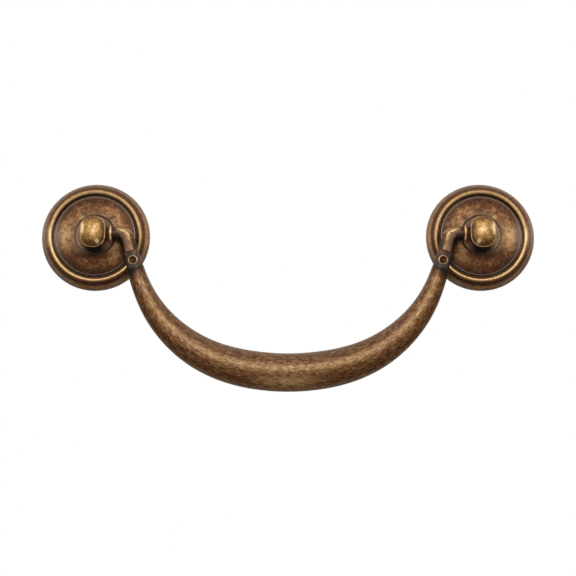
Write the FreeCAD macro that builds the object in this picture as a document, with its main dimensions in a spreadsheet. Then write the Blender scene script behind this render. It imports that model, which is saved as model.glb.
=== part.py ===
import FreeCAD, Part
import math
import os

import Sketcher
from FreeCAD import Placement, Rotation, Vector

# A bail pull for a drawer: two round backplates, each with a post through it, and a tapered
# crescent bail that hangs between the posts on two bent elbows. Each elbow's round arm turns in
# its post's side socket, and a hollow-ended rivet holds the elbow's tongue in the bail's fork.
# Millimetres. The drawer's face is the plane Y = 0 and the pull stands out from it towards -Y.
# X runs along the line of the two screws, Z is up, and the origin is midway between the screws.

doc = FreeCAD.newDocument("BailPull")
sheet = doc.addObject("Spreadsheet::Sheet", "Sizes")

SIZES = (
    ("hole_centres", 128.0, "between the two mounting screws"),
    ("pivot_standoff", 7.0, "from the drawer's face to the axis that the bail swings on"),
    # Backplate
    ("plate_diameter", 36.0, "over the plate's outer edge"),
    ("plate_edge", 0.75, "height of the plate's upright outer edge"),
    ("rim_radius", 1.9, "of the rounded rim between the outer edge and the bead"),
    ("rim_width", 1.75, "of that rim, seen from the front"),
    ("outer_groove_height", 2.25, "of the groove outside the bead, above the drawer's face"),
    ("outer_groove_width", 0.2, "of that groove's floor"),
    ("bead_radius", 1.1, "of the bead's own round section"),
    ("bead_height", 2.8, "of the bead's centre above the drawer's face"),
    ("inner_groove_height", 2.55, "of the groove inside the bead"),
    ("inner_groove_width", 0.55, "of that groove's floor"),
    ("field_edge_height", 3.1, "of the domed field's sharp edge"),
    ("field_edge_lean", 0.2, "that the edge's wall leans outwards on its way down"),
    ("dome_radius", 45.0, "of the field's dome"),
    ("seat_radius", 7.1, "where the dome turns down to the post's foot"),
    ("seat_margin", 0.1, "between the post's foot and the end of that slope"),
    ("seat_height", 4.2, "of the foot's seat above the drawer's face"),
    ("plate_wall", 1.5, "under the dome"),
    ("hub_radius", 6.4, "of the hub behind the plate, which rests on the drawer"),
    ("cavity_inset", 0.4, "from the field's edge in to where the hollow back's dome ends"),
    ("back_rim_width", 1.4, "of the plate's rim where it rests on the drawer's face"),
    ("cavity_rise", 0.95, "of the hollow back at its outer end"),
    ("cavity_draft", 0.3, "that its outer wall leans in"),
    # Post
    ("tail_radius", 2.85, "of the post's tail, which goes through the plate"),
    ("tail_clearance", 0.05, "between that tail and its hole, on the radius"),
    ("foot_radius", 6.1, "of the post's foot"),
    ("foot_edge", 0.4, "height of the foot's edge above its seat"),
    ("cove_radius", 2.2, "of the hollow curve from the foot up to the neck"),
    ("neck_radius", 3.7, "at the neck's waist"),
    ("neck_top_radius", 3.85, "where the neck meets the head"),
    ("head_base", 9.8, "from the drawer's face to the back of the head"),
    ("collar_thickness", 0.85, "of the head's thin collar"),
    ("collar_width", 8.3, "of the collar, left to right"),
    ("collar_length", 10.4, "of the collar, up and down"),
    ("collar_corner", 3.75, "corner radius of the collar"),
    ("collar_rounding", 0.22, "of the collar's two edges"),
    ("pillow_inset", 0.38, "from the collar's outline to the cushion-shaped front"),
    ("post_projection", 14.0, "from the drawer's face to the front of the head"),
    ("crown_across", 10.5, "radius of the head's crowned front, left to right"),
    ("crown_along", 13.0, "radius of the same, up and down"),
    ("crown_turn", 120.0, "angle that the crown's cutter is swung through"),
    ("pillow_rounding", 2.1, "round the edge of the crowned front"),
    ("boss_radius", 2.2, "of the side boss that holds the socket"),
    ("boss_root", 2.6, "from the post's axis to where the boss starts, inside the neck"),
    ("socket_rim_radius", 2.55, "of the raised rim round the socket's mouth"),
    ("socket_rim_width", 1.0, "of that rim, along the swing axis"),
    ("socket_mouth", 6.1, "from the post's axis to the socket's mouth"),
    ("socket_depth", 4.0, "of the blind socket"),
    ("socket_clearance", 0.06, "between the arm and its socket, on the radius"),
    ("screw_hole_diameter", 3.3, "of the hole for an M4 thread"),
    ("screw_hole_depth", 8.5, "of its full width, from the back of the post"),
    ("drill_angle", 118.0, "of the drilled hole's pointed end"),
    # Elbow
    ("arm_diameter", 3.4, "of the elbow's round arm, inside the socket"),
    ("arm_end_gap", 0.2, "between the arm's end and the socket's floor"),
    ("knee_offset", 10.4, "from the post's axis to the leg's axis, at the swing axis"),
    ("bar_gap", 0.12, "between the socket's rim and the elbow's thicker bar"),
    ("bar_height", 3.95, "of the bar where it leaves the socket"),
    ("bar_thinning", 0.08, "by which the bar's oval section is less deep than it is wide"),
    ("knee_top", 2.15, "from the swing axis up to the knee's top"),
    ("knee_corner", 1.85, "radius of the knee's outer corner"),
    ("knee_hollow", 0.9, "radius of the knee's inner corner"),
    ("leg_angle", 73.0, "between the leg and the line of the screws"),
    ("leg_width", 5.0, "of the elbow's leg, seen from the front"),
    ("leg_depth", 4.2, "over the flats on the front and back of the elbow's leg"),
    ("rivet_reach", 9.6, "along the leg, from the swing axis to the rivet"),
    ("fork_overlap", 3.1, "of the bail's fork above the rivet"),
    ("joint_gap", 0.06, "between the elbow's shoulder and the end of the fork"),
    ("tongue_width", 4.3, "of the elbow's tongue"),
    ("tongue_thickness", 1.4, "of the elbow's tongue, front to back"),
    # Rivet
    ("rivet_shank", 2.5, "diameter of the rivet's shank"),
    ("rivet_clearance", 0.05, "between the shank and its holes, on the radius"),
    ("rivet_head", 3.4, "diameter of the flat head at the back"),
    ("rivet_head_thickness", 0.45, "of that head"),
    ("rivet_lip", 0.26, "radius of the rolled lip at the front"),
    ("rivet_lip_circle", 1.27, "radius of the circle that the lip's centre runs on"),
    ("rivet_bore", 1.95, "diameter of the hollow in the rivet's front end"),
    ("rivet_bore_depth", 0.75, "of that hollow, from the lip's front"),
    # Bail
    ("bail_drop", 46.1, "from the swing axis down to the middle of the grip"),
    ("leg_straight", 14.4, "length of the straight stretch, from the swing axis along the leg"),
    ("crown_half_angle", 14.2, "half the angle that the bail's flat bottom curve turns"),
    ("grip_width", 12.55, "of the bail at its middle, seen from the front"),
    ("grip_depth", 8.8, "of the bail at its middle, front to back"),
    ("end_width", 5.0, "that the bail tapers to, seen from the front"),
    ("end_depth", 4.9, "that the bail tapers to, front to back"),
    ("taper_power", 1.22, "how late along the bail its taper starts"),
    ("fork_slot", 1.5, "width of the fork's slot, front to back"),
    ("slot_end_gap", 0.35, "between the tongue's round end and the slot's floor"),
    ("fork_thickness", 3.3, "over the two flats that the rivet is closed on"),
    ("flat_beyond", 0.1, "from the rivet's head to where each flat starts to run out"),
    ("flat_runout", 2.5, "radius of the hollow by which each flat runs out into the bar"),
    ("cut_margin", 1.0, "that a cutting outline runs past the metal"),
)

for row, (alias, number, meaning) in enumerate(SIZES, start=1):
    sheet.set(f"A{row}", meaning)
    sheet.set(f"B{row}", str(number))
    sheet.setAlias(f"B{row}", alias)
doc.recompute()

LEFT, RIGHT = -1, 1
SIDE_NAMES = {LEFT: "left", RIGHT: "right"}
FRONT_PLANE, SIDE_PLANE, TURNING_PLANE = "XZ_Plane", "YZ_Plane", "XY_Plane"
START, END, MIDDLE = range(1, 4)  # a sketch's names for the points of a line, arc or circle
ORIGIN = -1
FULL_TURN, HALF_TURN, QUARTER_TURN = 360.0, 180.0, 90.0


class Measure:
    """A number together with the formula that gives it from the sheet."""

    def __init__(self, number, formula):
        self.number = number
        self.formula = formula

    def __add__(self, other):
        other = measure(other)
        return Measure(self.number + other.number, f"({self.formula} + {other.formula})")

    def __sub__(self, other):
        other = measure(other)
        return Measure(self.number - other.number, f"({self.formula} - {other.formula})")

    def __mul__(self, other):
        other = measure(other)
        return Measure(self.number * other.number, f"({self.formula} * {other.formula})")

    def __truediv__(self, other):
        other = measure(other)
        return Measure(self.number / other.number, f"({self.formula} / {other.formula})")

    def __pow__(self, other):
        other = measure(other)
        return Measure(self.number ** other.number, f"({self.formula} ^ {other.formula})")

    def __neg__(self):
        return Measure(-self.number, f"(0 - {self.formula})")


def measure(value):
    """Take a plain number as a Measure too."""
    if isinstance(value, Measure):
        return value
    return Measure(float(value), repr(float(value)))


def size(alias):
    """Read one driving dimension from the sheet."""
    return Measure(float(sheet.get(alias)), f"Sizes.{alias}")


def sine(angle):
    return Measure(math.sin(math.radians(angle.number)), f"sin({angle.formula})")


def cosine(angle):
    return Measure(math.cos(math.radians(angle.number)), f"cos({angle.formula})")


def tangent(angle):
    return Measure(math.tan(math.radians(angle.number)), f"tan({angle.formula})")


def other_leg(hypotenuse, leg):
    """The third side of a right triangle."""
    square = hypotenuse * hypotenuse - leg * leg
    return Measure(math.sqrt(square.number), f"sqrt({square.formula})")


ZERO = measure(0)
worked = doc.addObject("App::VarSet", "Worked")


def keep(name, value):
    """Store a worked-out value under a name of its own, bound to its formula."""
    if name not in worked.PropertiesList:
        worked.addProperty("App::PropertyFloat", name, "Worked out")
        worked.setExpression(name, value.formula)
    return Measure(value.number, f"Worked.{name}")


def new_body(name):
    body = doc.addObject("PartDesign::Body", name)
    body.Label = name
    return body


def put(body, across, out, up=ZERO, turn=None):
    """Place a finished body: across is +X, out is towards the front, up is +Z."""
    if turn is not None:
        body.Placement = Placement(Vector(), turn)
    body.setExpression("Placement.Base.x", across.formula)
    body.setExpression("Placement.Base.y", (-out).formula)
    body.setExpression("Placement.Base.z", up.formula)


def new_sketch(body, name, role, offset=ZERO):
    """A sketch on one of the body's own origin planes, moved along the plane's normal."""
    planes = [item for item in body.Origin.OriginFeatures if item.Role == role]
    sketch = body.newObject("Sketcher::SketchObject", name)
    sketch.AttachmentSupport = [(planes[0], "")]
    sketch.MapMode = "FlatFace"
    sketch.setExpression("AttachmentOffset.Base.z", offset.formula)
    return sketch


def new_section(body, name, centre, tilt=None):
    """A sketch across a bar: the side plane moved to a centre and tilted about Y."""
    section = new_sketch(body, name, SIDE_PLANE, centre[0])
    if tilt is not None:
        turn = Rotation(Vector(1, 0, 0), tilt.number)
        section.AttachmentOffset = Placement(Vector(), turn)
        section.setExpression("AttachmentOffset.Rotation.Angle", tilt.formula)
    section.setExpression("AttachmentOffset.Base.y", centre[1].formula)
    return section


def bind_constraint(sketch, kind, *arguments):
    """Add one dimension whose value is a formula."""
    *places, value = arguments
    index = sketch.addConstraint(Sketcher.Constraint(kind, *places, value.number))
    sketch.setExpression(f"Constraints[{index}]", value.formula)


def pin(sketch, geometry, end, point):
    """Fix one end of a line or arc at a point given by two formulas."""
    bind_constraint(sketch, "DistanceX", ORIGIN, START, geometry, end, point[0])
    bind_constraint(sketch, "DistanceY", ORIGIN, START, geometry, end, point[1])


def arc_centre(start, end, radius):
    """Centre of the shorter arc from start to end; a positive radius turns to the left."""
    chord = end - start
    height = math.sqrt(max(radius * radius - chord.Length * chord.Length / 4, 0.0))
    across = Vector(-chord.y, chord.x, 0).normalize()
    return (start + end) / 2 + across * math.copysign(height, radius)


def add_arc(sketch, start, end, radius):
    """Draw an arc and say which of its ends comes first."""
    centre = arc_centre(start, end, radius)
    first, second = (start, end) if radius > 0 else (end, start)
    angles = [math.atan2(point.y - centre.y, point.x - centre.x) for point in (first, second)]
    circle = Part.Circle(centre, Vector(0, 0, 1), abs(radius))
    index = sketch.addGeometry(Part.ArcOfCircle(circle, *angles), False)
    return (index, START, END) if radius > 0 else (index, END, START)


def draw(sketch, start, *moves, closed=True):
    """Draw lines and arcs from point to point, each corner pinned to its formulas.

    A move is (x, y) for a line, or (x, y, radius) for an arc that turns left, or right where
    the radius is negative.
    """
    moves = moves + (start,) if closed else moves
    corners = [Vector(point[0].number, point[1].number, 0) for point in (start,) + moves]
    ends = []
    for here, there, move in zip(corners, corners[1:], moves):
        if len(move) == 2:
            index = sketch.addGeometry(Part.LineSegment(here, there), False)
            ends.append((index, START, END))
            continue
        ends.append(add_arc(sketch, here, there, move[2].number))
        radius = move[2] if move[2].number > 0 else -move[2]
        bind_constraint(sketch, "Radius", ends[-1][0], radius)
    for (geometry, _, last), (following, first, _) in zip(ends, ends[1:]):
        sketch.addConstraint(Sketcher.Constraint("Coincident", geometry, last, following, first))
    if closed:
        joined = (ends[-1][0], ends[-1][2], ends[0][0], ends[0][1])
        sketch.addConstraint(Sketcher.Constraint("Coincident", *joined))
    pin(sketch, ends[0][0], ends[0][1], start)
    for (geometry, _, last), move in zip(ends, moves[:-1] if closed else moves):
        pin(sketch, geometry, last, move)


def draw_circle(sketch, centre, radius):
    middle = Vector(centre[0].number, centre[1].number, 0)
    index = sketch.addGeometry(Part.Circle(middle, Vector(0, 0, 1), radius.number), False)
    bind_constraint(sketch, "Radius", index, radius)
    pin(sketch, index, MIDDLE, centre)


def draw_oval(section, wide, deep):
    """An ellipse about the sketch's origin, with its longer axis upright."""
    long_end, short_end = Vector(0, wide.number / 2, 0), Vector(deep.number / 2, 0, 0)
    index = section.addGeometry(Part.Ellipse(long_end, short_end, Vector()), False)
    section.exposeInternalGeometry(index)
    long_axis, short_axis = index + 1, index + 2
    section.addConstraint(Sketcher.Constraint("Coincident", index, MIDDLE, ORIGIN, START))
    section.addConstraint(Sketcher.Constraint("Vertical", long_axis))
    bind_constraint(section, "Distance", long_axis, wide)
    bind_constraint(section, "Distance", short_axis, deep)
    section.Visibility = False


def draw_rounded_box(sketch, half_width, half_height, corner):
    """A rectangle about the origin with four round corners."""
    side, top = half_width - corner, half_height - corner
    draw(
        sketch,
        (half_width, top),
        (side, half_height, corner),
        (-side, half_height),
        (-half_width, top, corner),
        (-half_width, -top),
        (-side, -half_height, corner),
        (side, -half_height),
        (half_width, -top, corner),
    )


def feature(body, kind, name, sketch, length=None, turn=None, both_ways=False):
    """Add a pad, pocket, revolution or groove made from one sketch."""
    made = body.newObject(f"PartDesign::{kind}", name)
    made.Profile = sketch
    made.Midplane = both_ways
    if length is not None:
        made.setExpression("Length", length.formula)
    else:
        made.ReferenceAxis = (sketch, ["V_Axis"])
        made.Angle = FULL_TURN
    if turn is not None:
        made.setExpression("Angle", turn.formula)
    sketch.Visibility = False
    return made


def loft_through(body, name, sections):
    """Run one smooth bar through a row of sections."""
    loft = body.newObject("PartDesign::AdditiveLoft", name)
    loft.Profile = sections[0]
    loft.Sections = sections[1:]
    return loft


def round_edges(body, name, base, radius, chosen):
    """Fillet the edges of a feature that a test picks out."""
    doc.recompute()
    names = [f"Edge{i}" for i, edge in enumerate(base.Shape.Edges, start=1) if chosen(edge)]
    fillet = body.newObject("PartDesign::Fillet", name)
    fillet.Base = (base, names)
    fillet.setExpression("Radius", radius.formula)
    return fillet


def edge_heights(edge, axis):
    """Lowest and highest coordinate of an edge along one axis, 0 for X, 1 for Y, 2 for Z."""
    box = edge.BoundBox
    return ((box.XMin, box.XMax), (box.YMin, box.YMax), (box.ZMin, box.ZMax))[axis]


TOUCH = 1e-4


def lies_at(edge, axis, place):
    """Whether a whole edge lies in the plane at that place along an axis."""
    low, high = edge_heights(edge, axis)
    return abs(low - place) < TOUCH and abs(high - place) < TOUCH


def plate_rings():
    """Radii of the plate's rings, each counted inwards from the outer edge."""
    bead, up = size("bead_radius"), size("bead_height")
    rim = size("plate_diameter") / 2 - size("rim_width")
    groove = rim - size("outer_groove_width")
    circle = keep("bead_circle", groove - other_leg(bead, up - size("outer_groove_height")))
    inside = circle - other_leg(bead, up - size("inner_groove_height"))
    wall = inside - size("inner_groove_width")
    return rim, groove, circle, inside, wall, keep("field_radius", wall - size("field_edge_lean"))


def dome_height(radius, field, ball):
    """Height above the drawer's face of a ball concentric with the plate's dome."""
    centre = size("field_edge_height") - other_leg(size("dome_radius"), field)
    return centre + other_leg(ball, radius)


def make_backplate(side):
    """A round plate, hollow behind, turned about the screw's axis."""
    body = new_body(f"{SIDE_NAMES[side]}_backplate")
    outer = size("plate_diameter") / 2
    bore = size("tail_radius") + size("tail_clearance")
    hub, seat, seat_up = size("hub_radius"), size("seat_radius"), size("seat_height")
    bead, bead_top = size("bead_radius"), size("bead_height") + size("bead_radius")
    low, high = size("outer_groove_height"), size("inner_groove_height")
    rim, groove, bead_circle, bead_inside, wall, field = plate_rings()
    dome = size("dome_radius")
    under = dome - size("plate_wall")
    hollow = field - size("cavity_inset")
    cavity = outer - size("back_rim_width")
    sketch = new_sketch(body, body.Name + "_profile", TURNING_PLANE)
    draw(
        sketch,
        (bore, ZERO),
        (hub, ZERO),
        (hub, -dome_height(hub, field, under)),
        (hollow, -dome_height(hollow, field, under), under),
        (cavity - size("cavity_draft"), -size("cavity_rise")),
        (cavity, ZERO),
        (outer, ZERO),
        (outer, -size("plate_edge")),
        (rim, -low, -size("rim_radius")),
        (groove, -low),
        (bead_circle, -bead_top, -bead),
        (bead_inside, -high, -bead),
        (wall, -high),
        (field, -size("field_edge_height")),
        (seat, -dome_height(seat, field, dome), -dome),
        (size("foot_radius") + size("seat_margin"), -seat_up),
        (bore, -seat_up),
    )
    feature(body, "Revolution", body.Name + "_turned", sketch)
    put(body, size("hole_centres") * side / 2, ZERO)
    return body


def make_post_stem(body):
    """Tail, foot, hollow cove and neck, turned about the screw's axis."""
    seat, foot = size("seat_height"), size("foot_radius")
    cove, neck = size("cove_radius"), size("neck_radius")
    foot_top = seat + size("foot_edge")
    waist = foot_top + cove
    base = size("head_base") + size("collar_thickness") / 2
    sketch = new_sketch(body, body.Name + "_stem_profile", TURNING_PLANE)
    draw(
        sketch,
        (ZERO, ZERO),
        (size("tail_radius"), ZERO),
        (size("tail_radius"), -seat),
        (foot, -seat),
        (foot, -foot_top),
        (neck + cove, -foot_top),
        (neck, -waist, cove),
        (size("neck_top_radius"), -size("head_base")),
        (size("neck_top_radius"), -base),
        (ZERO, -base),
    )
    feature(body, "Revolution", body.Name + "_stem", sketch)


def make_post_head(body):
    """A thin collar and, set in from it, a cushion-shaped front."""
    base, thickness = size("head_base"), size("collar_thickness")
    width, length = size("collar_width") / 2, size("collar_length") / 2
    corner, inset = size("collar_corner"), size("pillow_inset")
    front = base + thickness
    sketch = new_sketch(body, body.Name + "_collar_outline", FRONT_PLANE, base)
    draw_rounded_box(sketch, width, length, corner)
    collar = feature(body, "Pad", body.Name + "_collar", sketch, thickness)
    round_edges(
        body, body.Name + "_collar_edges", collar, size("collar_rounding"),
        lambda edge: lies_at(edge, 1, -front.number)
        or (lies_at(edge, 1, -base.number) and not is_round_the_axis(edge)),
    )
    sketch = new_sketch(body, body.Name + "_pillow_outline", FRONT_PLANE, front)
    draw_rounded_box(sketch, width - inset, length - inset, corner - inset)
    feature(body, "Pad", body.Name + "_pillow", sketch, size("post_projection") - front)


def is_round_the_axis(edge):
    """Whether an edge is a circle about the post's own axis."""
    curve = edge.Curve
    return isinstance(curve, Part.Circle) and abs(curve.Center.x) + abs(curve.Center.z) < TOUCH


def crown_post_head(body):
    """Crown the head's front, with a radius each way, and round the edge that this leaves.

    The cutter's outline has the up-and-down curve, and is swung about an upright axis that lies
    as far behind the front as the left-to-right radius says.
    """
    across, along = size("crown_across"), size("crown_along")
    reach = size("collar_length") / 2 + size("cut_margin")
    clear = across + size("cut_margin")
    low_side = across - along + other_leg(along, reach)
    sketch = new_sketch(body, body.Name + "_crown_profile", SIDE_PLANE)
    sketch.setExpression("AttachmentOffset.Base.x", (across - size("post_projection")).formula)
    draw(
        sketch,
        (-low_side, -reach),
        (-low_side, reach, -along),
        (-clear, reach),
        (-clear, -reach),
    )
    crown = feature(
        body, "Groove", body.Name + "_crown", sketch, turn=size("crown_turn"), both_ways=True)
    front = (size("head_base") + size("collar_thickness")).number
    round_edges(
        body, body.Name + "_crown_edge", crown, size("pillow_rounding"),
        lambda edge: edge_heights(edge, 1)[1] < -front - TOUCH,
    )


def make_post_socket(body):
    """A side boss with a raised rim, a blind socket for the arm and a hole for the screw."""
    middle = (-size("pivot_standoff"), ZERO)
    mouth, rim = size("socket_mouth"), size("socket_rim_width")
    root = size("boss_root")
    sketch = new_sketch(body, body.Name + "_boss_outline", SIDE_PLANE, root)
    draw_circle(sketch, middle, size("boss_radius"))
    feature(body, "Pad", body.Name + "_boss", sketch, mouth - root - rim / 2)
    sketch = new_sketch(body, body.Name + "_rim_outline", SIDE_PLANE, mouth - rim)
    draw_circle(sketch, middle, size("socket_rim_radius"))
    feature(body, "Pad", body.Name + "_rim", sketch, rim)
    sketch = new_sketch(body, body.Name + "_socket_outline", SIDE_PLANE, mouth)
    draw_circle(sketch, middle, size("arm_diameter") / 2 + size("socket_clearance"))
    feature(body, "Pocket", body.Name + "_socket", sketch, size("socket_depth"))


def drill_post(body):
    """The blind hole for the mounting screw's thread, with the drill's pointed end."""
    radius, depth = size("screw_hole_diameter") / 2, size("screw_hole_depth")
    tip = depth + radius / tangent(size("drill_angle") / 2)
    sketch = new_sketch(body, body.Name + "_drill_profile", TURNING_PLANE)
    draw(sketch, (ZERO, ZERO), (radius, ZERO), (radius, -depth), (ZERO, -tip))
    feature(body, "Groove", body.Name + "_screw_hole", sketch)


def make_post(side):
    body = new_body(f"{SIDE_NAMES[side]}_post")
    make_post_stem(body)
    make_post_head(body)
    crown_post_head(body)
    make_post_socket(body)
    drill_post(body)
    turn = Rotation(Vector(0, 1, 0), HALF_TURN if side == RIGHT else 0.0)
    put(body, size("hole_centres") * side / 2, ZERO, turn=turn)
    return body


def along_leg(distance, aside=ZERO):
    """A point of the leg's own line, seen from the front, with X measured from the post."""
    angle = size("leg_angle")
    across = size("knee_offset") + cosine(angle) * distance + sine(angle) * aside
    up = cosine(angle) * aside - sine(angle) * distance
    return across, up


def beside_leg(aside, height):
    """The point at a height above the swing axis on a line beside the leg's own."""
    angle = size("leg_angle")
    return along_leg((cosine(angle) * aside - height) / sine(angle), aside)


def knee_centre():
    """Centre of the knee's inner corner, which the bar's sections fan out from."""
    hollow = size("knee_hollow")
    across, up = beside_leg(-size("leg_width") / 2 - hollow, -size("bar_height") / 2 - hollow)
    return keep("knee_centre_across", across), keep("knee_centre_up", up)


def knee_reach(share):
    """From that centre to the knee's outline: its level top, its corner, then its outer side."""
    angle, corner = size("leg_angle"), size("knee_corner")
    turn = angle * share
    across, up = knee_centre()
    if share < CORNER_SHARE:
        return (size("knee_top") - up) / cosine(turn)
    if share > CORNER_SHARE:
        return (size("leg_width") + size("knee_hollow")) / cosine(angle - turn)
    corner_across, corner_up = beside_leg(
        size("leg_width") / 2 - corner, size("knee_top") - corner)
    ahead = (corner_across - across) * sine(turn) + (corner_up - up) * cosine(turn)
    aside = (corner_across - across) * cosine(turn) - (corner_up - up) * sine(turn)
    return ahead + other_leg(corner, aside)


# The sections stand at nearly even steps, because a loft swings wide where its steps change.
KNEE_SHARES, CORNER_SHARE = (0.0, 0.2, 0.4, 0.6, 0.8, 1.0), 0.6
START_STEPS, LEG_STEP = 2, 0.2


def knee_section(share):
    """Centre and width of the bar's section at a share of the knee's turn."""
    hollow, turn = size("knee_hollow"), size("leg_angle") * share
    across, up = knee_centre()
    reach = keep(f"knee_reach_{share * 100:.0f}", knee_reach(share))
    middle = (reach + hollow) / 2
    return across + sine(turn) * middle, up + cosine(turn) * middle, reach - hollow


def make_elbow_section(body, name, centre, tilt, wide):
    section = new_section(body, f"{body.Name}_{name}", centre, tilt)
    draw_oval(section, wide, wide - size("bar_thinning"))
    return section


def make_elbow_bar(body):
    """The bar from the socket round the knee, lofted through ovals, and on to the shoulder."""
    angle, start = size("leg_angle"), size("socket_mouth") + size("bar_gap")
    across, up, wide = knee_section(KNEE_SHARES[0])
    start_wide = size("bar_height")
    sections = []
    for step in range(START_STEPS):
        share = step / START_STEPS
        place = (start + (across - start) * share, up * share)
        sections.append(make_elbow_section(
            body, f"start_{step}", place, None, start_wide + (wide - start_wide) * share))
    for share in KNEE_SHARES:
        across, up, wide = knee_section(share)
        tilt = angle * share if share else None
        name = f"knee_{share * 100:.0f}"
        sections.append(make_elbow_section(body, name, (across, up), tilt, wide))
    knee_end = -up / sine(angle)
    shoulder = size("rivet_reach") - size("fork_overlap") - size("joint_gap")
    bar_end = keep("bar_end", knee_end + (shoulder - knee_end) * LEG_STEP)
    end_section = make_elbow_section(body, "bar_end", along_leg(bar_end), angle, wide)
    loft_through(body, body.Name + "_bar", sections + [end_section])
    leg_section = make_elbow_section(body, "leg_outline", along_leg(bar_end), angle, wide)
    feature(body, "Pad", body.Name + "_leg", leg_section, shoulder - bar_end)


def flatten_elbow(body):
    """Flats on the front and back of the leg, which fade out where the knee gets thinner."""
    margin, half = size("cut_margin"), size("leg_width") / 2 + size("cut_margin")
    top, end = -(size("knee_top") + size("leg_width")), size("rivet_reach")
    for name, side in (("front", 1), ("back", -1)):
        middle = (size("leg_depth") + margin) / 2 * side
        sketch = new_sketch(body, f"{body.Name}_{name}_outline", FRONT_PLANE, middle)
        draw(
            sketch,
            along_leg(end, -half),
            along_leg(end, half),
            along_leg(top, half),
            along_leg(top, -half),
        )
        feature(body, "Pocket", f"{body.Name}_{name}_flat", sketch, margin, both_ways=True)


def make_elbow(side):
    """A bent piece: a round arm for the socket, a knee, and a leg that ends in a tongue."""
    body = new_body(f"{SIDE_NAMES[side]}_elbow")
    make_elbow_bar(body)
    flatten_elbow(body)
    arm_start = size("socket_mouth") - size("socket_depth") + size("arm_end_gap")
    sketch = new_sketch(body, body.Name + "_arm_outline", SIDE_PLANE, arm_start)
    draw_circle(sketch, (ZERO, ZERO), size("arm_diameter") / 2)
    feature(body, "Pad", body.Name + "_arm", sketch, size("knee_offset") - arm_start)
    reach, half = size("rivet_reach"), size("tongue_width") / 2
    root = reach - size("fork_overlap") - size("joint_gap") - size("cut_margin")
    sketch = new_sketch(body, body.Name + "_tongue_outline", FRONT_PLANE)
    draw(
        sketch,
        along_leg(root, -half),
        along_leg(reach, -half),
        along_leg(reach, half) + (half,),
        along_leg(root, half),
    )
    thickness = size("tongue_thickness")
    feature(body, "Pad", body.Name + "_tongue", sketch, thickness, both_ways=True)
    sketch = new_sketch(body, body.Name + "_hole_outline", FRONT_PLANE)
    draw_circle(sketch, along_leg(reach), size("rivet_shank") / 2 + size("rivet_clearance"))
    feature(body, "Pocket", body.Name + "_hole", sketch, size("leg_depth"), both_ways=True)
    turn = Rotation(Vector(0, 0, 1), HALF_TURN if side == RIGHT else 0.0)
    put(body, size("hole_centres") * side / 2, size("pivot_standoff"), turn=turn)
    return body


def make_rivet(side):
    """A rivet with a flat head behind and a hollow front end rolled over into a ring."""
    body = new_body(f"{SIDE_NAMES[side]}_rivet")
    shank, head = size("rivet_shank") / 2, size("rivet_head") / 2
    flat = size("fork_thickness") / 2
    lip, circle = size("rivet_lip"), size("rivet_lip_circle")
    bore = size("rivet_bore") / 2
    front = flat + lip
    floor = front + lip - size("rivet_bore_depth")
    tip = floor - bore / tangent(size("drill_angle") / 2)
    sketch = new_sketch(body, body.Name + "_profile", TURNING_PLANE)
    draw(
        sketch,
        (ZERO, flat + size("rivet_head_thickness")),
        (ZERO, -tip),
        (bore, -floor),
        (bore, -front),
        (circle - lip, -front),
        (circle, -front - lip, -lip),
        (circle + lip, -front, -lip),
        (circle + lip, -flat),
        (shank, -flat),
        (shank, flat),
        (head, flat),
        (head, flat + size("rivet_head_thickness")),
    )
    feature(body, "Revolution", body.Name + "_turned", sketch)
    across, up = along_leg(size("rivet_reach"))
    put(body, (size("hole_centres") / 2 - across) * side, size("pivot_standoff"), up)
    return body


def bail_radii():
    """Radii of the flat bottom curve and of the two shoulders that join it to the legs."""
    flat, leg = size("crown_half_angle"), size("leg_angle")
    across, up = along_leg(size("leg_straight"))
    wide = size("hole_centres") / 2 - across
    deep = size("bail_drop") + up
    rise, run = cosine(flat) - cosine(leg), sine(leg) - sine(flat)
    sag = measure(1) - cosine(flat)
    shoulder = (sine(flat) * deep - sag * wide) / (sine(flat) * rise - sag * run)
    crown = (wide - run * shoulder) / sine(flat)
    return keep("crown_radius", crown), keep("shoulder_radius", shoulder)


def make_bail_spine(body, crown, shoulder):
    """The bail's centre line: leg, shoulder, flat bottom, shoulder, leg."""
    flat = size("crown_half_angle")
    end = along_leg(size("rivet_reach") - size("fork_overlap"))
    bend = along_leg(size("leg_straight"))
    middle = size("hole_centres") / 2
    turn = (sine(flat) * crown, (measure(1) - cosine(flat)) * crown - size("bail_drop"))
    left_end, right_end = (end[0] - middle, end[1]), (middle - end[0], end[1])
    left_bend, right_bend = (bend[0] - middle, bend[1]), (middle - bend[0], bend[1])
    spine = new_sketch(body, "bail_spine", FRONT_PLANE)
    draw(
        spine,
        left_end,
        left_bend,
        (-turn[0], turn[1], shoulder),
        turn + (crown,),
        right_bend + (shoulder,),
        right_end,
        closed=False,
    )
    spine.Visibility = False
    return spine


def tapered(middle, end, share):
    """A width at a share of the way from the grip's middle to the swing axis."""
    fall = cosine(share ** size("taper_power") * QUARTER_TURN)
    return end + (middle - end) * fall * fall


def make_bail_section(body, spine, edge, place, share):
    """One oval section across the spine, wider in the bail's plane than it is deep."""
    section = body.newObject("Sketcher::SketchObject", f"bail_section_{edge}_{place * 100:.0f}")
    section.AttachmentSupport = [(spine, f"Edge{edge}")]
    section.MapMode = "NormalToEdge"
    section.MapPathParameter = place
    wide = tapered(size("grip_width"), size("end_width"), share)
    draw_oval(section, wide, tapered(size("grip_depth"), size("end_depth"), share))
    return section


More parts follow.
